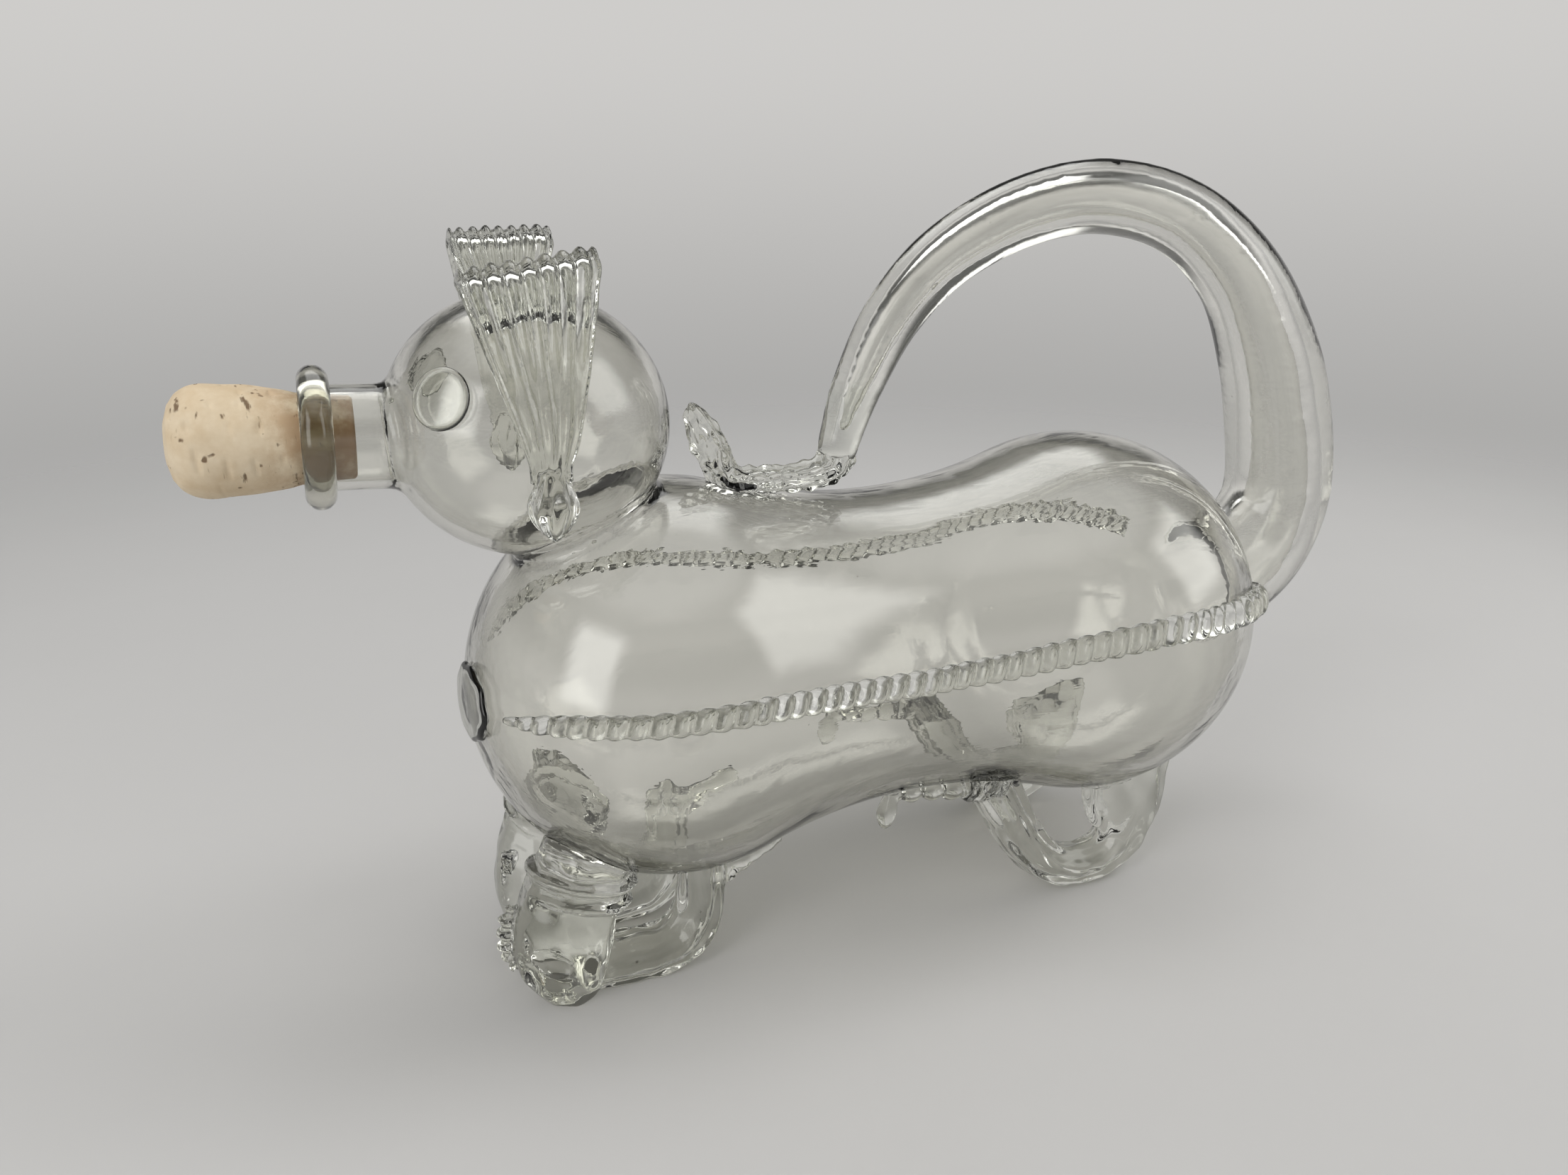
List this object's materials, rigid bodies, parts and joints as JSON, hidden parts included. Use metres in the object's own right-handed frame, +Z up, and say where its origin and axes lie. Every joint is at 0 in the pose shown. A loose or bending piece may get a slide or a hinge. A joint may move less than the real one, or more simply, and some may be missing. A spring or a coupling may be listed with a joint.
{
  "type": "figural liquor decanter",
  "caption": "Blown glass bottle in the shape of a standing dog, with a corked snout, crimped flank trails and an arched tail as its handle.",
  "frame": {"origin": "centre of the bounding box on the table that the feet stand on", "axes": "-X towards the snout and the cork, +X towards the tail, +Y to the dog's right, +Z up"},
  "size_m": [0.2628, 0.0895, 0.1671],
  "materials": {
    "glass": "clear hand-blown glass with a faint grey-green tint, fire polished",
    "cork": "natural cork, sanded, with dark lenticels"
  },
  "bodies": {
    "decanter": {"body_shell": "glass", "head_bulb": "glass", "snout_neck": "glass", "mouth_ring": "glass", "breast_drop": "glass", "left_eye": "glass", "right_eye": "glass", "left_ear": "glass", "right_ear": "glass", "tail_tube": "glass", "tail_finial": "glass", "left_trail": "glass", "right_trail": "glass", "front_left_leg": "glass", "front_right_leg": "glass", "rear_left_leg": "glass", "rear_right_leg": "glass"},
    "cork": {"cork_stopper": "cork"}
  },
  "joints": [
    {"name": "cork_pull", "type": "slide", "parent": "decanter", "child": "cork", "axis": [-0.9986, 0, 0.0523], "range_m": [0, 0.06]}
  ]
}
